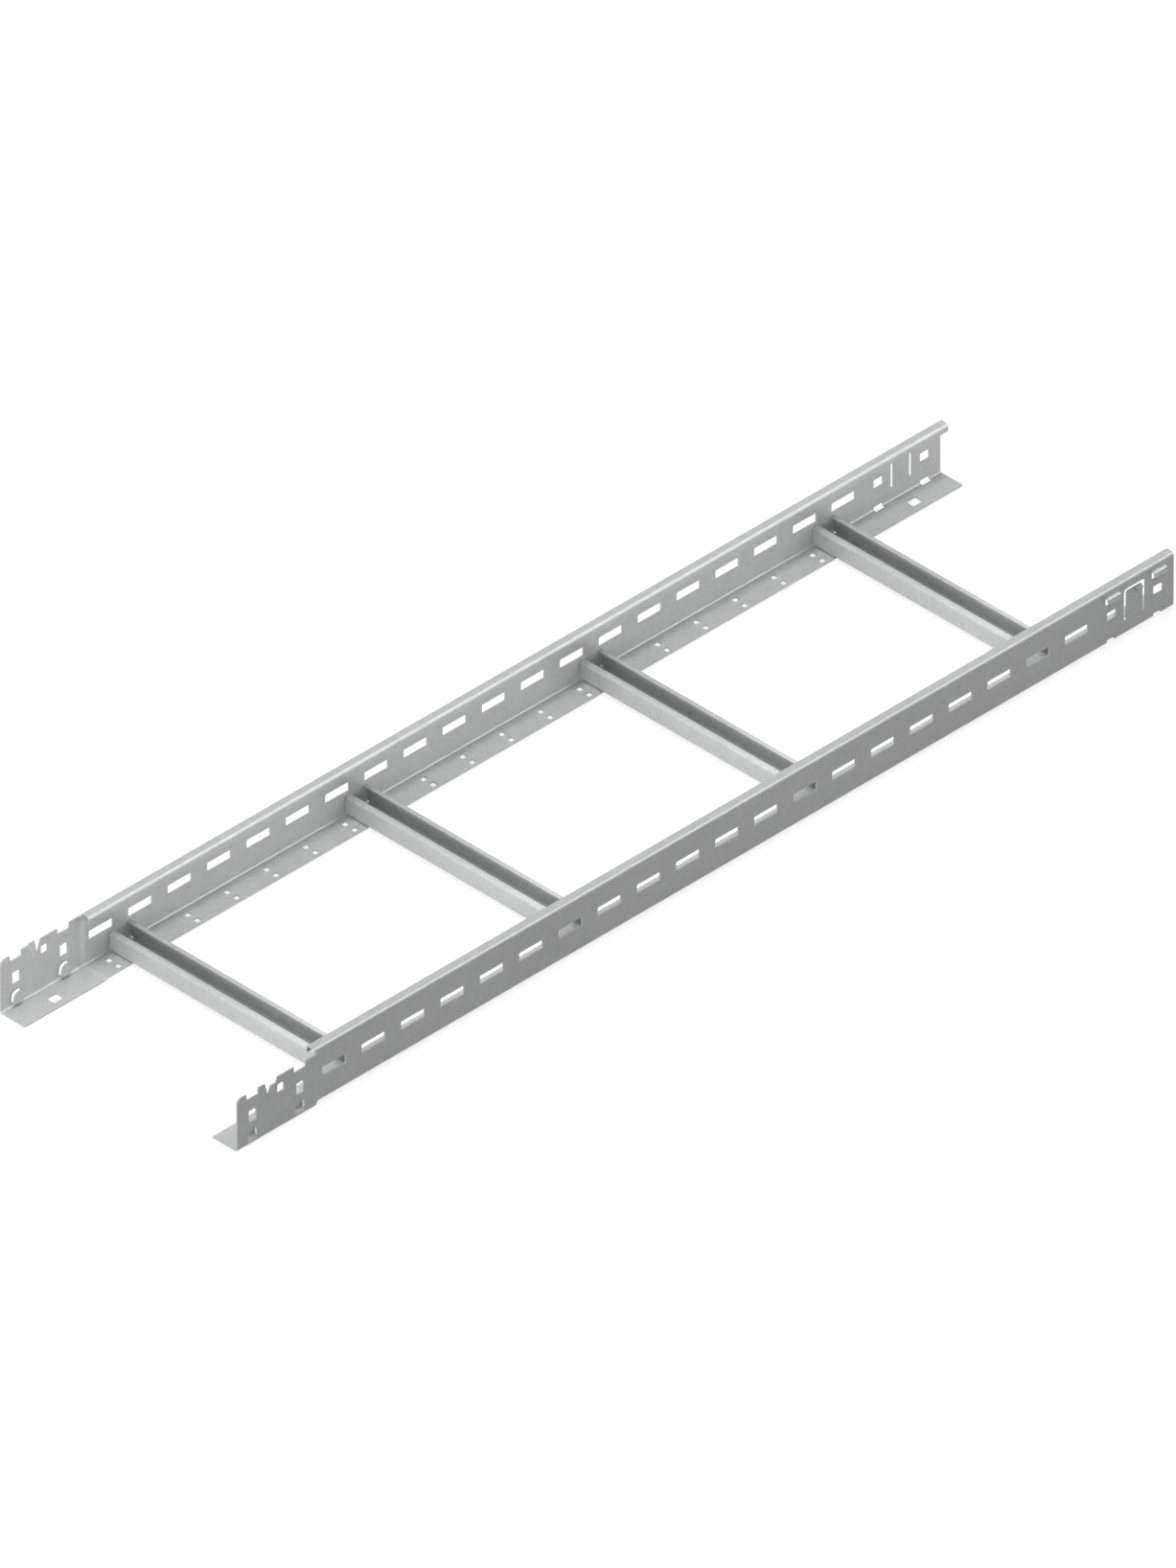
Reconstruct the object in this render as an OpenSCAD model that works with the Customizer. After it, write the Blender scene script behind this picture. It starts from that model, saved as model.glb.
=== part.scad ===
// Cable ladder section with plug-in ends, folded from galvanised steel sheet.
// Two mirrored side rails stand on their folded flanges, and four open C rungs
// lie across the flanges. One end of each rail is set outwards and downwards,
// so that the plain end of the next section drops into it and hooks on.
// X runs along the rails from the set-out end to the plain end, Y runs across.

/* [Section] */
// Length along the rails
length = 1200; // [1180:10:1400]
// Width across the outer faces of the side rails
width = 300; // [200:50:600]
// Height of a side rail
rail_h = 60; // [60:5:110]
// Thickness of the steel sheet
sheet_t = 1.5; // [1.2:0.1:1.6]

/* [Rail profile] */
// Width of the bottom flange from the rail's outer face
flange_w = 30; // [28:1:32]
// Width of the curl along the top edge
curl_w = 11.5; // [10:0.5:14]
// Height of the curl's free lip below the top
curl_drop = 8; // [6:0.5:10]
// Outer radius of the two bends in the curl
curl_r = 4; // [3:0.5:4.5]
// Inner radius of the bend between web and flange
fold_r = 2; // [1:0.5:2.5]

/* [Web slots] */
// Centre of the first slot, from the set-out end
first_slot = 124; // [122:1:126]
// Distance between slots
slot_pitch = 50; // [50:5:60]
// Length of a slot
slot_len = 30; // [20:1:32]
// Height of a slot
slot_h = 10; // [8:1:12]

/* [Rungs] */
// Centre of the first rung, from the set-out end
first_rung = 149; // [146:1:152]
// Distance between rungs
rung_pitch = 300; // [200:50:300]
// Width of a rung along the rails
rung_w = 30; // [26:0.5:31]
// Height of a rung
rung_h = 20.5; // [15:0.5:22]
// Width of the lengthwise mouth in the top of a rung
rung_mouth = 18; // [15:0.5:18]

/* [Plug-in end] */
// Length of rail that overlaps the next section
lap_len = 100; // [100:1:102]
// Clearance between the two overlapping sheets
lap_gap = 0.5; // [0.4:0.1:0.8]
// Spacing of the paired catches on each end
catch_pitch = 60; // [60:1:61]

/* [Hidden] */
$fn = 40;
corner_fn = 16;                         // for the small corners of punched holes

steel = [0.62, 0.63, 0.64];
bright_steel = [0.72, 0.73, 0.74];
far = 200;                              // longer than any cut needs
eps = 0.01;

// Levels and offsets of the rail
step = sheet_t + lap_gap;               // how far the set-out end moves out and down
top = step + rail_h;                    // top of the rail
fold_out = fold_r + sheet_t;
step_x = lap_len - 1;                   // the step in the rail starts here
step_len = 6;
main_x = step_x + step_len;             // the full profile starts here
step_slices = 6;
step_lap = 0.5;                         // the step's planes run on this far, and are cut off
fold_chords = 5;                        // flats in the stepped fold's arc
fold_ease = 0.04;                       // keeps their corners off the plain fold's arc
curl_x = lap_len;                       // the curl starts here
slot_z = step + rail_h / 2 + 0.5;
slot_count = floor((length - lap_len - slot_len / 2 - first_slot) / slot_pitch) + 1;
slot_r = 1;

// Set-out end
tab_top = top - 4.5;                    // top edge of the set-out web
notch_z = top - 10.8;                   // bottom of the notches in that edge
notch_x = 11.5;
notch_w = 15;
end_r = 5;
window_x = 14.5;
window_w = 9.5;
window_z = 24.7;
window_h = 13;
catch_x = 50.5;                         // hole that the spring tongue snaps into
catch_w = 8.5;
catch_z = top - 22.3;
catch_h = 9.5;
lug_x = 13.5;
lug_w = 12;
lug_low = 4;
lug_high = 17;
lug_in = step + 1.7;                    // how far a lug stands inside the web
vee_x = 35;
vee_w = 15.5;
vee_foot = 7.2;
vee_depth = 15.2;
vee_out = 3.5;
vee_drop = 2;                           // the leaning tongue ends this far below the edge
vee_gap = 4;                            // gap at the top on the tongue's first side
vee_slit = 4.5;                         // and on its other side

// Plain end
hook_x = length - lap_len + 11.5;
hook_w = 16;
hook_top = top - 7;
hook_low = top - 17.5;
hook_out = 3.8;
hook_drop = 5.5;
tongue_x = length - lap_len + 35.5;
tongue_w = 27.5;
tongue_cut = 3.5;
tongue_low = 16.5;
tongue_top = top - 10.3;
tongue_r = 4;
nose_x = tongue_x + 15.5;
nose_w = 7;
nose_z = top - 21;
nose_h = 6;
nose_out = 2.4;
plain_hole_x = length - lap_len + 13.5;
plain_hole_w = 12;
plain_hole_z = step + rail_h / 2 - 5.5;
plain_notch_x = length - lap_len + 13.5;
plain_notch_w = 12;
plain_notch_z = step + 4.7;
plain_notch_in = 5;

// Flange holes
joint_hole_w = 12;
joint_hole_d = 10;
joint_hole_in = 17.8;
pair_hole = 6;
pair_in = [12, 24];

// Rung ends
rung_end_gap = 0.5;
rung_relief = fold_out - sheet_t + 1.2;
rung_relief_h = fold_r + 0.3;

// ---- flat shapes ----

// Quarter of a ring in the first quadrant
module quarter_ring(inner) {
    intersection() {
        difference() {
            circle(r = inner + sheet_t);
            circle(r = inner);
        }
        square(inner + sheet_t);
    }
}

// Rectangle with rounded corners, its lower left corner at the origin
module round_box(w, h, r) {
    translate([r, 0])
        square([w - 2 * r, h]);
    translate([0, r])
        square([w, h - 2 * r]);
    for (x = [r, w - r], y = [r, h - r])
        translate([x, y])
            circle(r = r, $fn = corner_fn);
}

// Web, fold and flange, with the fold's corner at (out, low)
module angle_section(out, low, high) {
    translate([out, low + fold_out])
        square([sheet_t, high - low - fold_out]);
    translate([out + fold_out, low + fold_out])
        rotate(180)
            quarter_ring(fold_r);
    translate([out + fold_out, low])
        square([flange_w - out - fold_out, sheet_t]);
}

// Curl that turns inwards from the top of the web and down to a free lip
module curl_section() {
    bend_z = top - curl_r;
    translate([curl_r, bend_z])
        rotate(90)
            quarter_ring(curl_r - sheet_t);
    translate([curl_r, top - sheet_t])
        square([curl_w - 2 * curl_r, sheet_t]);
    translate([curl_w - curl_r, bend_z])
        quarter_ring(curl_r - sheet_t);
    translate([curl_w - sheet_t, top - curl_drop])
        square([sheet_t, curl_drop - curl_r]);
}

// ---- placing ----

// Stands a (depth, height) profile up and draws it out along the rail
module along_rail(x, len) {
    translate([x, 0, 0])
        rotate([90, 0, 90])
            linear_extrude(height = len)
                children();
}

// Draws a (length, height) shape through the depth from y_near to y_deep
module across_web(y_near, y_deep) {
    translate([0, y_deep, 0])
        rotate([90, 0, 0])
            linear_extrude(height = y_deep - y_near)
                children();
}

// ---- rail ----

// Everything inside one plane that rolls over the fold at the given angle, while
// the fold's centre moves along the step; radius is measured from that centre
module inside_fold_plane(angle, radius) {
    reach = 2 * rail_h;
    edge = [for (i = [0 : step_slices])
        let (rise = (1 - cos(180 * i / step_slices)) / 2)
        let (centre_y = fold_out - step * (1 - rise))
        let (centre_z = fold_out + step * rise)
        [step_len * i / step_slices, centre_y * cos(angle) + centre_z * sin(angle) - radius]];
    start = [-step_lap, edge[0][1]];
    finish = [step_len + step_lap, edge[step_slices][1]];
    rotate([angle, 0, 0])
        linear_extrude(height = 2 * reach, center = true)
            polygon(concat([start], edge, [finish, [finish[0], reach], [start[0], reach]]));
}

// The fold's inside: its two straight faces, and the chords of its arc between them
module inside_fold(radius) {
    chord = 90 / fold_chords;
    intersection() {
        inside_fold_plane(0, radius);
        inside_fold_plane(90, radius);
        intersection_for (i = [1 : fold_chords])
            inside_fold_plane((i - 0.5) * chord, radius * cos(chord / 2) - fold_ease);
    }
}

// Stretch in which the angle moves from the set-out line to the main line
module rail_step() {
    translate([step_x, 0, 0])
        intersection() {
            difference() {
                inside_fold(fold_out);
                inside_fold(fold_r);
            }
            translate([0, -2 * step, -step])
                cube([step_len, flange_w + 2 * step, tab_top + step]);
        }
}

// Outline of the set-out web's top edge: a rounded corner and two notches
module set_out_edge() {
    difference() {
        union() {
            translate([end_r, 0])
                square([step_x - end_r, tab_top]);
            square([end_r + eps, tab_top - end_r]);
            translate([end_r, tab_top - end_r])
                circle(r = end_r);
        }
        for (x = [notch_x, notch_x + catch_pitch])
            translate([x, notch_z])
                square([notch_w, far]);
    }
}

module set_out_stretch() {
    intersection() {
        along_rail(0, step_x)
            angle_section(-step, 0, tab_top);
        across_web(-far, far)
            set_out_edge();
    }
}

module main_stretch() {
    along_rail(main_x, length - main_x)
        angle_section(0, step, top - curl_r);
    along_rail(curl_x, length - curl_x)
        curl_section();
    along_rail(curl_x, main_x - curl_x)
        translate([0, tab_top - 1])
            square([sheet_t, top - curl_r - tab_top + 1]);
}

// D-shaped opening that a lug is pressed out of
module lug_outline(grow) {
    r = lug_w / 2 + grow;
    translate([lug_x + lug_w / 2, lug_high - lug_w / 2])
        circle(r = r);
    translate([lug_x - grow, lug_low - 2 * step])
        square([2 * r, lug_high - lug_w / 2 - lug_low + 2 * step]);
}

// Lug: leaves the foot of the set-out web inwards and then stands up
module lug() {
    ledge_z = lug_low - 1;
    intersection() {
        along_rail(lug_x, lug_w) {
            polygon([
                [-step, ledge_z],
                [lug_in - step + sheet_t, ledge_z + 2],
                [lug_in - step + sheet_t, lug_high],
                [lug_in - step, lug_high],
                [lug_in - step, ledge_z + 2 + sheet_t],
                [-step, ledge_z + sheet_t]
            ]);
        }
        across_web(-far, far)
            lug_outline(0);
    }
}

// Tongue in the top edge, between two tapered slits, leaning outwards
module vee_tongue() {
    intersection() {
        along_rail(vee_x, vee_w)
            polygon([
                [-step, tab_top - vee_depth - 1],
                [-step, tab_top - vee_depth],
                [-step - vee_out, tab_top - vee_drop],
                [-step - vee_out + sheet_t, tab_top - vee_drop],
                [-step + sheet_t, tab_top - vee_depth],
                [-step + sheet_t, tab_top - vee_depth - 1]
            ]);
        across_web(-far, far)
            vee_outline(vee_gap, vee_slit);
    }
}

// Trapezium that widens upwards, drawn in at its top corners
module vee_outline(first_inset, other_inset) {
    mid = vee_x + vee_w / 2;
    polygon([
        [mid - vee_foot / 2, tab_top - vee_depth - 1],
        [mid + vee_foot / 2, tab_top - vee_depth - 1],
        [mid + vee_w / 2 - other_inset, tab_top + eps],
        [mid - vee_w / 2 + first_inset, tab_top + eps]
    ]);
}

module set_out_cuts() {
    for (x = [0, catch_pitch]) {
        across_web(-far, sheet_t)
            translate([window_x + x, window_z])
                round_box(window_w, window_h, slot_r);
        across_web(-far, sheet_t - step)
            translate([x, 0])
                intersection() {
                    lug_outline(0.4);
                    translate([0, lug_low])
                        square(far);
                }
    }
    across_web(-far, sheet_t)
        translate([catch_x, catch_z])
            round_box(catch_w, catch_h, slot_r);
    across_web(-far, sheet_t - step)
        vee_outline(0, 0);
}

// Hook: a ledge out of the web with a lip that hangs outside the next section
module hook() {
    along_rail(hook_x, hook_w)
        polygon([
            [sheet_t, hook_top],
            [-hook_out + sheet_t, hook_top],
            [-hook_out, hook_top - sheet_t],
            [-hook_out, hook_top - 3],
            [-hook_out - 1, hook_top - hook_drop],
            [-hook_out - 1 + sheet_t, hook_top - hook_drop],
            [-hook_out + sheet_t, hook_top - 3],
            [-hook_out + sheet_t, hook_top - sheet_t],
            [sheet_t, hook_top - sheet_t]
        ]);
}

// Nose on the spring tongue: a wedge that snaps into the next section's hole
module nose() {
    along_rail(nose_x, nose_w)
        polygon([
            [0, nose_z],
            [-nose_out, nose_z + nose_h - 1.5],
            [-nose_out, nose_z + nose_h],
            [sheet_t / 2, nose_z + nose_h],
            [sheet_t / 2, nose_z]
        ]);
}

module plain_cuts() {
    for (x = [0, catch_pitch]) {
        across_web(-far, sheet_t + eps) {
            translate([plain_hole_x + x, plain_hole_z])
                round_box(plain_hole_w, slot_h, slot_r);
            translate([hook_x + x, hook_low])
                square([hook_w, hook_top - sheet_t - hook_low]);
        }
        translate([plain_notch_x + x, -far, -far])
            cube([plain_notch_w, far + plain_notch_in, far + plain_notch_z]);
    }
    across_web(-far, sheet_t + eps)
        translate([tongue_x, 0])
            difference() {
                translate([0, tongue_low])
                    round_box(tongue_w, tongue_top - tongue_low, tongue_r);
                translate([tongue_cut, 0])
                    round_box(tongue_w - 2 * tongue_cut, tongue_top - tongue_cut, tongue_r - 1.5);
            }
}

module web_slots() {
    across_web(-far, sheet_t + eps)
        for (i = [0 : slot_count - 1])
            translate([first_slot + i * slot_pitch - slot_len / 2, slot_z - slot_h / 2])
                round_box(slot_len, slot_h, slot_r);
}

module flange_holes() {
    for (x = [lap_len / 2, length - lap_len / 2])
        translate([x - joint_hole_w / 2, joint_hole_in - joint_hole_d / 2, -eps])
            linear_extrude(height = 2 * step + sheet_t)
                round_box(joint_hole_w, joint_hole_d, slot_r);
    for (i = [0 : slot_count - 1], y = pair_in)
        translate([first_slot + i * slot_pitch - pair_hole / 2, y - pair_hole / 2, -eps])
            linear_extrude(height = 2 * step + sheet_t)
                round_box(pair_hole, pair_hole, slot_r);
}

module rail() {
    difference() {
        union() {
            set_out_stretch();
            rail_step();
            main_stretch();
        }
        set_out_cuts();
        plain_cuts();
        web_slots();
        flange_holes();
    }
    vee_tongue();
    nose();
    for (x = [0, catch_pitch])
        translate([x, 0, 0]) {
            lug();
            hook();
        }
}

// ---- rung ----

// C section, open upwards, standing on its floor
module rung_section() {
    corner = 1.5;
    outer = corner + sheet_t;
    lip = (rung_w - rung_mouth) / 2;
    for (side = [0, 1])
        mirror([side, 0]) {
            translate([-rung_w / 2 + outer, outer])
                rotate(180)
                    quarter_ring(corner);
            translate([-rung_w / 2, outer])
                square([sheet_t, rung_h - 2 * outer]);
            translate([-rung_w / 2 + outer, rung_h - outer])
                rotate(90)
                    quarter_ring(corner);
            translate([-rung_w / 2 + outer, rung_h - sheet_t])
                square([lip - outer, sheet_t]);
        }
    translate([-rung_w / 2 + outer, 0])
        square([rung_w - 2 * outer, sheet_t]);
}

// One rung, cut back at the foot of both ends to clear the rails' folds
module rung(index) {
    reach = width / 2 - sheet_t - rung_end_gap;
    color(bright_steel)
        translate([first_rung + (index - 1) * rung_pitch - length / 2, 0, step + sheet_t])
            difference() {
                rotate([90, 0, 0])
                    linear_extrude(height = 2 * reach, center = true)
                        rung_section();
                for (side = [-1, 1])
                    translate([0, side * reach, 0])
                        cube([far, 2 * rung_relief, 2 * rung_relief_h], center = true);
            }
}

module rail_right() {
    color(steel)
        translate([-length / 2, -width / 2, 0])
            rail();
}

module rail_left() {
    color(steel)
        mirror([0, 1, 0])
            translate([-length / 2, -width / 2, 0])
                rail();
}

rail_right();
rail_left();
rung(1);  // rung_1
rung(2);  // rung_2
rung(3);  // rung_3
rung(4);  // rung_4
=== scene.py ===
"""Cable ladder section in galvanised sheet steel: finish, floor, lights and camera."""
import math

import bpy
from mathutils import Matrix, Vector


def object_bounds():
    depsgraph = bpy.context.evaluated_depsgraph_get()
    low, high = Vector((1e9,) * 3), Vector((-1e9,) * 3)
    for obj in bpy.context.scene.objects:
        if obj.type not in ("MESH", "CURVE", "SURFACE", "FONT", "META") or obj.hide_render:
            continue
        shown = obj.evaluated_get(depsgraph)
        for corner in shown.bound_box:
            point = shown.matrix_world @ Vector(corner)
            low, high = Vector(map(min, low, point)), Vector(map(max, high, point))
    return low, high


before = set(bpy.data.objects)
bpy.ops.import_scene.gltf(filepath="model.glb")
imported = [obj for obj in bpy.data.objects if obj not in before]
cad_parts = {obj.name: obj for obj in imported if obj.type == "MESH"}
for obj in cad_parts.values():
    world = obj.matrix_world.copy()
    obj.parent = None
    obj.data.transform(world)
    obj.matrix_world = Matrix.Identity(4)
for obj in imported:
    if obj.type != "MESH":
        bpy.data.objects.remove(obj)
CAD_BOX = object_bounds()

RAILS = ["rail_right", "rail_left"]
RUNGS = ["rung_1", "rung_2", "rung_3", "rung_4"]

# Galvanised finish. Scales are in features per metre.
CRYSTAL_SCALE = 260
CLOUD_SCALE = 14
GRAIN_SCALE = 620
SKIN_SCALE = 420
SKIN_DEPTH = 0.0004
SKIN_STRENGTH = 0.06
NOISE_MIDDLE = (0.3, 0.7)               # where most of a noise's values lie
CLOUD_TONE = 0.03                       # share by which the tone goes up and down
GRAIN_TONE = 0.07
ROUGHNESS_SPREAD = 0.05                 # from crystal to crystal
ZINC_TINT = (("Red", 0.995), ("Green", 1.0), ("Blue", 1.006))

# Floor and world
FLOOR_HALF = 6.0
FLOOR_GAP = 0.0003                      # clear of the flanges' undersides
FLOOR_GREY = 0.25
FLOOR_GLOW = 0.82
WORLD_DIM = 0.28
WORLD_BRIGHT = 1.0

# Camera: the photograph's isometric view, through a very long lens
VIEW_TOWARDS_CAMERA = Vector((-1, -1, 1)).normalized()
FRAME_HEIGHT = 1.4185                   # metres at the ladder, from top to bottom
LENS = 1200
SENSOR = 36
AIM = Vector((-0.0041, -0.0006, 0.031))


class Nodes:
    """A node tree, with a short way to add and join its nodes."""

    def __init__(self, tree):
        self.tree = tree

    def add(self, kind, **settings):
        node = self.tree.nodes.new("ShaderNode" + kind)
        for key, value in settings.items():
            setattr(node, key, value)
        return node

    def join(self, output, target):
        self.tree.links.new(output, target)

    def ramp(self, source, low, high, from_range=(0.0, 1.0)):
        node = self.add("MapRange")
        node.inputs["From Min"].default_value = from_range[0]
        node.inputs["From Max"].default_value = from_range[1]
        node.inputs["To Min"].default_value = low
        node.inputs["To Max"].default_value = high
        self.join(source, node.inputs["Value"])
        return node.outputs["Result"]

    def noise(self, place, scale, detail, roughness):
        node = self.add("TexNoise")
        node.inputs["Scale"].default_value = scale
        node.inputs["Detail"].default_value = detail
        node.inputs["Roughness"].default_value = roughness
        self.join(place, node.inputs["Vector"])
        return node.outputs["Fac"]

    def maths(self, operation, a, b):
        node = self.add("Math", operation=operation)
        for socket, value in zip(node.inputs, (a, b)):
            if isinstance(value, (int, float)):
                socket.default_value = value
            else:
                self.join(value, socket)
        return node.outputs["Value"]

    def by_ray(self, unseen, seen):
        """One shader for light that only bounces, another for what is seen.

        Seen means straight from the camera, mirrored, or through glass."""
        path = self.add("LightPath")
        visible = self.maths(
            "MAXIMUM", path.outputs["Is Camera Ray"], path.outputs["Is Glossy Ray"])
        visible = self.maths("MAXIMUM", visible, path.outputs["Is Transmission Ray"])
        choose = self.add("MixShader")
        self.join(visible, choose.inputs["Fac"])
        self.join(unseen, choose.inputs[1])
        self.join(seen, choose.inputs[2])
        return choose.outputs["Shader"]


def new_material(name):
    """A material, the nodes in it, and its shader."""
    material = bpy.data.materials.new(name)
    material.use_nodes = True
    nodes = Nodes(material.node_tree)
    return material, nodes, material.node_tree.nodes["Principled BSDF"]


def galvanised(name, grey, metallic, roughness, spangle):
    """Zinc-coated sheet: crystal spangle, soft clouds, grain and a slightly rough skin."""
    material, n, shader = new_material(name)
    place = n.add("TexCoord").outputs["Object"]

    crystals = n.add("TexVoronoi", feature="F1")
    crystals.inputs["Scale"].default_value = CRYSTAL_SCALE
    crystals.inputs["Randomness"].default_value = 1.0
    n.join(place, crystals.inputs["Vector"])
    crystal = n.add("SeparateColor")
    n.join(crystals.outputs["Color"], crystal.inputs["Color"])
    flake = n.ramp(crystal.outputs["Red"], 1 - spangle, 1 + spangle)

    cloud = n.ramp(n.noise(place, CLOUD_SCALE, 3, 0.5),
                   1 - CLOUD_TONE, 1 + CLOUD_TONE, NOISE_MIDDLE)
    grain = n.ramp(n.noise(place, GRAIN_SCALE, 2, 0.6),
                   1 - GRAIN_TONE, 1 + GRAIN_TONE, NOISE_MIDDLE)
    tone = n.maths("MULTIPLY", n.maths("MULTIPLY", flake, cloud),
                   n.maths("MULTIPLY", grain, grey))
    colour = n.add("CombineColor")
    for channel, tint in ZINC_TINT:
        n.join(n.maths("MULTIPLY", tone, tint), colour.inputs[channel])
    n.join(colour.outputs["Color"], shader.inputs["Base Color"])

    rough = n.ramp(crystal.outputs["Green"],
                   roughness - ROUGHNESS_SPREAD, roughness + ROUGHNESS_SPREAD)
    n.join(rough, shader.inputs["Roughness"])
    shader.inputs["Metallic"].default_value = metallic

    bump = n.add("Bump")
    bump.inputs["Strength"].default_value = SKIN_STRENGTH
    bump.inputs["Distance"].default_value = SKIN_DEPTH
    n.join(n.noise(place, SKIN_SCALE, 3, 0.55), bump.inputs["Height"])
    n.join(bump.outputs["Normal"], shader.inputs["Normal"])
    return material


def dress(names, material):
    for name in names:
        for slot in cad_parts[name].material_slots:
            slot.material = material


def floor_material():
    """Pale floor that reads as white in the picture and keeps a soft shadow."""
    material, n, shader = new_material("floor_white")
    shader.inputs["Base Color"].default_value = (FLOOR_GREY, FLOOR_GREY, FLOOR_GREY, 1)
    shader.inputs["Roughness"].default_value = 0.9
    shader.inputs["Specular IOR Level"].default_value = 0.1
    glow = n.add("Emission")
    glow.inputs["Color"].default_value = (1, 1, 1, 1)
    glow.inputs["Strength"].default_value = FLOOR_GLOW
    glowing = n.add("AddShader")
    n.join(shader.outputs["BSDF"], glowing.inputs[0])
    n.join(glow.outputs["Emission"], glowing.inputs[1])
    surface = n.by_ray(shader.outputs["BSDF"], glowing.outputs["Shader"])
    n.join(surface, n.tree.nodes["Material Output"].inputs["Surface"])
    return material


def make_floor():
    mesh = bpy.data.meshes.new("floor")
    corners = [(x * FLOOR_HALF, y * FLOOR_HALF, 0)
               for x, y in ((-1, -1), (1, -1), (1, 1), (-1, 1))]
    mesh.from_pydata(corners, [], [(0, 1, 2, 3)])
    mesh.materials.append(floor_material())
    floor = bpy.data.objects.new("floor", mesh)
    floor.location.z = CAD_BOX[0][2] - FLOOR_GAP
    bpy.context.scene.collection.objects.link(floor)


def make_world():
    world = bpy.data.worlds.new("studio")
    world.use_nodes = True
    world.node_tree.nodes.clear()
    bpy.context.scene.world = world
    n = Nodes(world.node_tree)
    dim = n.add("Background")
    dim.inputs["Strength"].default_value = WORLD_DIM
    bright = n.add("Background")
    bright.inputs["Strength"].default_value = WORLD_BRIGHT
    surface = n.by_ray(dim.outputs["Background"], bright.outputs["Background"])
    n.join(surface, n.add("OutputWorld").inputs["Surface"])


def add_lamp(name, kind, towards, strength):
    """A lamp in the scene. Towards is the direction from the ladder to the lamp."""
    data = bpy.data.lights.new(name, kind)
    data.energy = strength
    lamp = bpy.data.objects.new(name, data)
    lamp.rotation_euler = Vector(towards).to_track_quat("Z", "Y").to_euler()
    bpy.context.scene.collection.objects.link(lamp)
    return lamp


def far_softbox(name, towards, spread, strength, on_gloss_only=False):
    """A soft, distant light, so both ends of the long rails are lit alike.

    Each one either lights the surfaces or shines in their gloss, so that no
    side of the flat sheets mirrors a lamp and turns white."""
    lamp = add_lamp(name, "SUN", towards, strength)
    lamp.data.angle = math.radians(spread)
    lamp.visible_diffuse = not on_gloss_only
    lamp.visible_glossy = on_gloss_only


def strip_light(name, place, towards, size, strength):
    """A long narrow lamp that fills the inside of the far rail."""
    lamp = add_lamp(name, "AREA", towards, strength)
    lamp.data.shape = "RECTANGLE"
    lamp.data.size, lamp.data.size_y = size
    lamp.location = place
    lamp.visible_camera = False


def make_camera():
    data = bpy.data.cameras.new("camera")
    data.lens = LENS
    data.sensor_width = SENSOR
    data.clip_start = 1.0
    data.clip_end = 100.0
    camera = bpy.data.objects.new("camera", data)
    camera.location = AIM + VIEW_TOWARDS_CAMERA * (FRAME_HEIGHT * LENS / SENSOR)
    camera.rotation_euler = VIEW_TOWARDS_CAMERA.to_track_quat("Z", "Y").to_euler()
    bpy.context.scene.collection.objects.link(camera)
    bpy.context.scene.camera = camera


dress(RAILS, galvanised("rail_zinc", grey=0.57, metallic=0.2, roughness=0.40, spangle=0.04))
dress(RUNGS, galvanised("rung_zinc", grey=0.53, metallic=0.2, roughness=0.40, spangle=0.04))
make_camera()
make_floor()
make_world()
far_softbox("from_the_end", (-1.0, 0.1, 0.2), spread=30, strength=1.8)
far_softbox("overhead", (-0.1, -0.05, 1.0), spread=16, strength=1.35)
far_softbox("overhead_far_side", (-0.15, 0.4, 1.0), spread=24, strength=0.5)
far_softbox("along_the_bends", (1.0, -1.0, 1.0), spread=40, strength=1.2,
            on_gloss_only=True)
strip_light("inside_fill", (0, -0.13, 0.085), (0, -1, 0), size=(2.0, 0.03), strength=1.1)
bpy.context.scene.view_settings.view_transform = "Standard"
